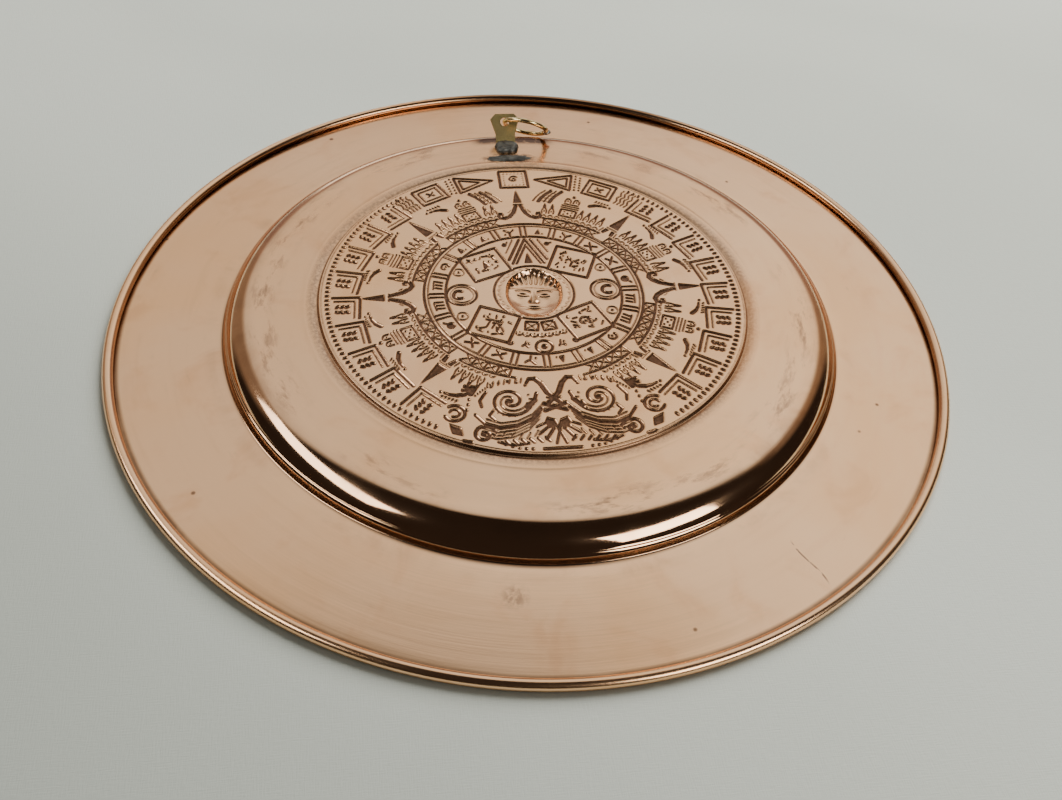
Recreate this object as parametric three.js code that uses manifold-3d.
// Spun copper wall plate with a rolled rim and a pressed medallion, lying face down, so that its
// back and the soldered brass hanger point up. Millimetres, +Z up. The origin is on the plate's
// axis, on the surface that the rim rests on, and the hanger is on the +Y side.
import * as THREE from "three";
import * as BufferGeometryUtils from "three/addons/utils/BufferGeometryUtils.js";
import Module from "manifold-3d";

// Plate
const RIM_RADIUS = 152.5;
const SHEET = 0.9;
const BEAD_RADIUS = 1.9;
const BEAD_SLIT = 0.35;
const CURL_TIP_ANGLE = 194;
const CURL_INNER_ANGLE = 198;
const CURL_ROOT_ANGLE = 258;
const CURL_WALL_ANGLE = -50;
const FLANGE_END_DROP = 0.05;
const FLANGE_RIM_Z = 1.0;
const FOOT = { r: 111.9, z: 3.35 };
const CREASE = { r: 109.9, z: 6.7 };
const SHOULDER = { r: 101, z: 12.1 };
const WALL_ARC_RADIUS = 11.5;
const WALL_STEPS = 5;
const LOWER_WALL_BULGE = 0.7;
const ANNULUS_INNER = { r: 79.8, z: 13.7 };
const BORDER_GROOVE = { r: 77.8, z: 13.0 };
const FIELD = { r: 77, z: 14.0 };
const RING_GROOVES = [32.1, 39.3];
const RING_GROOVE_WIDTH = 1.6;
const RING_GROOVE_DEPTH = 0.45;
const BOSS_RADIUS = 14.2;
const BOSS_DEPTH = 3.0;
const BOSS_STEPS = [0.45, 0.75, 0.92];
const PLATE_SEGMENTS = 64;

// Hanger tab, a bent brass strip: the foot lies on the plate and the upright leans outwards
const TAB_BEND_Y = 98;
const TAB_THICKNESS = 1.0;
const TAB_BEND_RADIUS = 1.2;
const TAB_LEAN = THREE.MathUtils.degToRad(47);
const TAB_LENGTH = 12.1;
const TAB_FOOT_LENGTH = 7;
const TAB_TOP_WIDTH = 8;
const TAB_CLIP_WIDTH = 12.2;
const TAB_CLIP_HEIGHT = 2.2;
const TAB_WAIST_WIDTH = 8.2;
const TAB_WAIST_HEIGHT = 3.6;
const TAB_FOOT_WIDTH = 9.6;
const TAB_FOOT_WIDEST = 0.55;
const TAB_FOOT_NOSE = 0.7;
const TAB_OVERLAP = 0.3;
const UPRIGHT_OVERLAP = 0.2;
const BEND_SIDES = 16;
const HOLE_STEPS = 12;
const HOLE_RADIUS = 1.9;
const HOLE_FROM_TOP = 3.4;

// Ring, hanging in the tab's hole and lying against the plate's wall
const RING_RADIUS = 9;
const WIRE_RADIUS = 0.95;
const RING_REST = THREE.MathUtils.degToRad(-14);
const RING_SIDES = 5;
const RING_STEPS = 36;
const JOINT_LENGTH = 2.6;
const JOINT_RADIUS = 1.7;
const JOINT_FLATTENING = 0.8;
const JOINT_STANDS_OUT = 0.6;
const JOINT_FACETS = [12, 8];

// Solder
const SOLDER = { x: 6.4, y: 4.9, z: 2.3 };
const SPILL = { x: 9.2, y: 2.9, z: 0.9 };
const SPILL_Y = 85.6;
const SOLDER_FACETS = [20, 12];
const SOLDER_ALONG_FOOT = 0.6;
const SOLDER_BACK_Y = 97.6;
const GAP = 0.3;

// Cutting solids reach this far past what they cut
const CUT_REACH = 10;
const WELD_DISTANCE = 1e-4;

const wasm = await Module();
wasm.setup();

const copper = { color: 0xc9987a, roughness: 0.22, metalness: 1 };
const brass = { color: 0xa08a45, roughness: 0.4, metalness: 1 };
const ringBrass = { color: 0xc9a355, roughness: 0.25, metalness: 1 };
const solder = { color: 0x6d6f6b, roughness: 0.6, metalness: 0.8 };

function namedMesh(name, geometry, look) {
  const mesh = new THREE.Mesh(geometry, new THREE.MeshStandardMaterial(look));
  mesh.name = name;
  return mesh;
}

function toSolid(geometry) {
  const bare = geometry.clone();
  bare.deleteAttribute("normal");
  bare.deleteAttribute("uv");
  const merged = BufferGeometryUtils.mergeVertices(bare, WELD_DISTANCE);
  const vertProperties = new Float32Array(merged.attributes.position.array);
  const triVerts = new Uint32Array(merged.index.array);
  return new wasm.Manifold(new wasm.Mesh({ numProp: 3, vertProperties, triVerts }));
}

function toGeometry(solid) {
  const mesh = solid.getMesh();
  const geometry = new THREE.BufferGeometry();
  geometry.setAttribute("position", new THREE.BufferAttribute(mesh.vertProperties, 3));
  geometry.setIndex(new THREE.BufferAttribute(mesh.triVerts, 1));
  return geometry;
}

// Slope of the ring between the medallion and the wall, and the height of its upper face
const PLATE_SLOPE = Math.atan2(ANNULUS_INNER.z - SHOULDER.z, SHOULDER.r - ANNULUS_INNER.r);

function annulusHeight(r) {
  return ANNULUS_INNER.z - (r - ANNULUS_INNER.r) * Math.tan(PLATE_SLOPE);
}

const TAB_SEAT_Z = annulusHeight(TAB_BEND_Y) + GAP;

// Points on an arc about a centre, with angles in degrees from the +r axis towards +z
function arcPoints(centre, radius, from, to, steps) {
  return Array.from({ length: steps + 1 }, (_, i) => {
    const angle = THREE.MathUtils.degToRad(from + ((to - from) * i) / steps);
    return [centre.r + radius * Math.cos(angle), centre.z + radius * Math.sin(angle)];
  });
}

// The upper face from the axis to the foot of the wall: boss hollow, grooves, border and wall
function upperFace() {
  const points = [[0, FIELD.z - BOSS_DEPTH]];
  for (const share of BOSS_STEPS) {
    points.push([BOSS_RADIUS * share, FIELD.z - BOSS_DEPTH * Math.sqrt(1 - share * share)]);
  }
  points.push([BOSS_RADIUS, FIELD.z]);
  for (const r of RING_GROOVES) {
    points.push([r - RING_GROOVE_WIDTH / 2, FIELD.z]);
    points.push([r, FIELD.z - RING_GROOVE_DEPTH]);
    points.push([r + RING_GROOVE_WIDTH / 2, FIELD.z]);
  }
  points.push([FIELD.r, FIELD.z], [BORDER_GROOVE.r, BORDER_GROOVE.z]);
  points.push([ANNULUS_INNER.r, ANNULUS_INNER.z]);
  const centre = {
    r: SHOULDER.r - WALL_ARC_RADIUS * Math.sin(PLATE_SLOPE),
    z: SHOULDER.z - WALL_ARC_RADIUS * Math.cos(PLATE_SLOPE),
  };
  const end = Math.atan2(CREASE.z - centre.z, CREASE.r - centre.r);
  const start = 90 - THREE.MathUtils.radToDeg(PLATE_SLOPE);
  points.push(...arcPoints(centre, WALL_ARC_RADIUS, start, THREE.MathUtils.radToDeg(end), WALL_STEPS));
  points.push([FOOT.r - LOWER_WALL_BULGE, (FOOT.z + CREASE.z) / 2], [FOOT.r, FOOT.z]);
  return points;
}

// The same face moved down by the sheet's thickness, measured square to the surface
function lowerFace(points) {
  return points.map(([r, z], i) => {
    const before = points[Math.max(i - 1, 0)];
    const after = points[Math.min(i + 1, points.length - 1)];
    const run = after[0] - before[0];
    const rise = after[1] - before[1];
    const length = Math.hypot(run, rise);
    return [i === 0 ? 0 : r + (SHEET * rise) / length, z - (SHEET * run) / length];
  });
}

// The flange and the bead: the sheet curls up and inwards, and stops short of the flange
function plateGeometry() {
  const upper = upperFace();
  const lower = lowerFace(upper);
  const bead = { r: RIM_RADIUS - BEAD_RADIUS, z: BEAD_RADIUS };
  const outline = [
    ...upper,
    [bead.r - BEAD_RADIUS + BEAD_SLIT, FLANGE_RIM_Z - FLANGE_END_DROP],
    ...arcPoints(bead, BEAD_RADIUS - SHEET, CURL_ROOT_ANGLE, 270, 1),
    ...arcPoints(bead, BEAD_RADIUS - SHEET, CURL_WALL_ANGLE, CURL_INNER_ANGLE, 6),
    ...arcPoints(bead, BEAD_RADIUS, CURL_TIP_ANGLE, -90, 9),
    [bead.r - BEAD_RADIUS, FLANGE_RIM_Z - SHEET],
    ...lower.reverse(),
  ];
  const profile = outline.reverse().map(([r, z]) => new THREE.Vector2(r, z));
  return new THREE.LatheGeometry(profile, PLATE_SEGMENTS);
}

// LatheGeometry turns about +Y, so the plate is stood up onto +Z
function plate() {
  const geometry = plateGeometry();
  geometry.rotateX(Math.PI / 2);
  const solid = toSolid(geometry);
  return namedMesh("copper_plate", toGeometry(solid), copper);
}

// The tab's outline seen square to the upright, from the bend (y = 0) to the clipped top
function uprightShape(margin) {
  const foot = TAB_WAIST_WIDTH / 2 + margin;
  const clip = TAB_CLIP_WIDTH / 2 + margin;
  const top = TAB_TOP_WIDTH / 2 + margin;
  const shape = new THREE.Shape();
  shape.moveTo(-foot, -UPRIGHT_OVERLAP);
  shape.lineTo(foot, -UPRIGHT_OVERLAP);
  shape.lineTo(foot, TAB_WAIST_HEIGHT);
  shape.lineTo(clip, TAB_LENGTH - TAB_CLIP_HEIGHT);
  shape.lineTo(top, TAB_LENGTH + margin);
  shape.lineTo(-top, TAB_LENGTH + margin);
  shape.lineTo(-clip, TAB_LENGTH - TAB_CLIP_HEIGHT);
  shape.lineTo(-foot, TAB_WAIST_HEIGHT);
  shape.closePath();
  if (margin === 0) {
    const hole = new THREE.Path();
    hole.absarc(0, TAB_LENGTH - HOLE_FROM_TOP, HOLE_RADIUS, 0, 2 * Math.PI, true);
    shape.holes.push(hole);
  }
  return shape;
}

// A frame at the bend whose y runs up the leaning upright and whose z points towards the middle
function uprightMatrix() {
  const up = new THREE.Vector3(0, Math.sin(TAB_LEAN), Math.cos(TAB_LEAN));
  const facing = new THREE.Vector3(0, -Math.cos(TAB_LEAN), Math.sin(TAB_LEAN));
  const matrix = new THREE.Matrix4().makeBasis(new THREE.Vector3(1, 0, 0), up, facing);
  return matrix.setPosition(0, TAB_BEND_Y, TAB_SEAT_Z);
}

// The tab as one solid, grown by a margin when it is used to cut the solder
function tabSolid(margin) {
  const thickness = TAB_THICKNESS + 2 * margin;
  const upright = new THREE.ExtrudeGeometry(uprightShape(margin), {
    depth: thickness,
    bevelEnabled: false,
    curveSegments: HOLE_STEPS,
  });
  upright.translate(0, 0, -margin);
  upright.applyMatrix4(uprightMatrix());
  const front = TAB_FOOT_WIDTH / 2 + margin;
  const back = TAB_WAIST_WIDTH / 2 + margin;
  const footShape = new THREE.Shape();
  footShape.moveTo(-back, TAB_OVERLAP + margin);
  footShape.lineTo(-front, -TAB_FOOT_LENGTH * TAB_FOOT_WIDEST);
  footShape.lineTo(-front * TAB_FOOT_NOSE, -TAB_FOOT_LENGTH - margin);
  footShape.lineTo(front * TAB_FOOT_NOSE, -TAB_FOOT_LENGTH - margin);
  footShape.lineTo(front, -TAB_FOOT_LENGTH * TAB_FOOT_WIDEST);
  footShape.lineTo(back, TAB_OVERLAP + margin);
  footShape.closePath();
  const foot = new THREE.ExtrudeGeometry(footShape, { depth: thickness, bevelEnabled: false });
  foot.translate(0, 0, -margin);
  foot.rotateX(-PLATE_SLOPE);
  foot.translate(0, TAB_BEND_Y, TAB_SEAT_Z);
  const bend = new THREE.CylinderGeometry(
    TAB_BEND_RADIUS / 2 + margin, TAB_BEND_RADIUS / 2 + margin, TAB_WAIST_WIDTH + 2 * margin, BEND_SIDES,
  );
  bend.rotateZ(Math.PI / 2);
  bend.translate(0, TAB_BEND_Y - UPRIGHT_OVERLAP / 2, TAB_SEAT_Z + TAB_BEND_RADIUS / 2);
  return toSolid(upright).add(toSolid(foot)).add(toSolid(bend));
}

// The plate's upper face raised by the gap, as a solid that fills everything below it
function belowPlateFace() {
  const profile = [
    new THREE.Vector2(0, -CUT_REACH),
    new THREE.Vector2(SHOULDER.r, -CUT_REACH),
    new THREE.Vector2(SHOULDER.r, SHOULDER.z + GAP),
    new THREE.Vector2(ANNULUS_INNER.r, ANNULUS_INNER.z + GAP),
    new THREE.Vector2(0, ANNULUS_INNER.z + GAP),
  ];
  const geometry = new THREE.LatheGeometry(profile, PLATE_SEGMENTS);
  geometry.rotateX(Math.PI / 2);
  return toSolid(geometry);
}

function mound(size, y) {
  const geometry = new THREE.SphereGeometry(1, ...SOLDER_FACETS);
  geometry.scale(size.x, size.y, size.z);
  geometry.translate(0, y, annulusHeight(y) + GAP);
  return toSolid(geometry).subtract(belowPlateFace());
}

// Solder over the tab's foot, open along the tab that it holds and ending at the bend
function footSolder() {
  const y = TAB_BEND_Y - TAB_FOOT_LENGTH * SOLDER_ALONG_FOOT;
  const behind = new THREE.BoxGeometry(2 * CUT_REACH, CUT_REACH, 2 * CUT_REACH);
  behind.translate(0, SOLDER_BACK_Y + CUT_REACH / 2, TAB_SEAT_Z);
  return mound(SOLDER, y).subtract(tabSolid(GAP)).subtract(toSolid(behind));
}

// The ring's frame: x runs from the hole to the ring's middle, y through the hole
function ringMatrix() {
  const up = new THREE.Vector3(0, Math.sin(TAB_LEAN), Math.cos(TAB_LEAN));
  const through = new THREE.Vector3(0, -Math.cos(TAB_LEAN), Math.sin(TAB_LEAN));
  const out = new THREE.Vector3(1, 0, 0).multiplyScalar(Math.cos(RING_REST));
  out.addScaledVector(up, Math.sin(RING_REST));
  const side = new THREE.Vector3().crossVectors(out, through);
  const hole = new THREE.Vector3(0, TAB_BEND_Y, TAB_SEAT_Z);
  hole.addScaledVector(up, TAB_LENGTH - HOLE_FROM_TOP);
  hole.addScaledVector(through, TAB_THICKNESS / 2);
  const matrix = new THREE.Matrix4().makeBasis(out, through, side);
  return matrix.setPosition(hole);
}

// The wire's path: a circle through the origin, open where the joint closes it
class RingPath extends THREE.Curve {
  getPoint(t, target = new THREE.Vector3()) {
    const opening = (JOINT_LENGTH / 2 + GAP) / RING_RADIUS;
    const angle = opening + t * (2 * Math.PI - 2 * opening);
    return target.set(RING_RADIUS + RING_RADIUS * Math.cos(angle), RING_RADIUS * Math.sin(angle), 0);
  }
}

function ring() {
  const section = new THREE.Shape();
  section.absarc(0, 0, WIRE_RADIUS, 0, 2 * Math.PI, false);
  const wire = new THREE.ExtrudeGeometry(section, {
    steps: RING_STEPS,
    curveSegments: RING_SIDES,
    extrudePath: new RingPath(),
  });
  const geometry = toGeometry(toSolid(wire));
  geometry.applyMatrix4(ringMatrix());
  return namedMesh("hanging_ring", geometry, ringBrass);
}

// A lump of solder between the wire's two ends, standing out from the ring
function ringJoint() {
  const lump = new THREE.SphereGeometry(1, ...JOINT_FACETS);
  lump.scale(JOINT_RADIUS, JOINT_LENGTH / 2, JOINT_RADIUS * JOINT_FLATTENING);
  lump.translate(2 * RING_RADIUS + JOINT_STANDS_OUT, 0, 0);
  lump.applyMatrix4(ringMatrix());
  return namedMesh("ring_joint_solder", toGeometry(toSolid(lump)), solder);
}

const plateAssembly = new THREE.Group();
plateAssembly.add(
  plate(),
  namedMesh("hanger_tab", toGeometry(tabSolid(0)), brass),
  namedMesh("foot_solder", toGeometry(footSolder()), solder),
  namedMesh("solder_spill", toGeometry(mound(SPILL, SPILL_Y)), solder),
  ring(),
  ringJoint(),
);

export default plateAssembly;
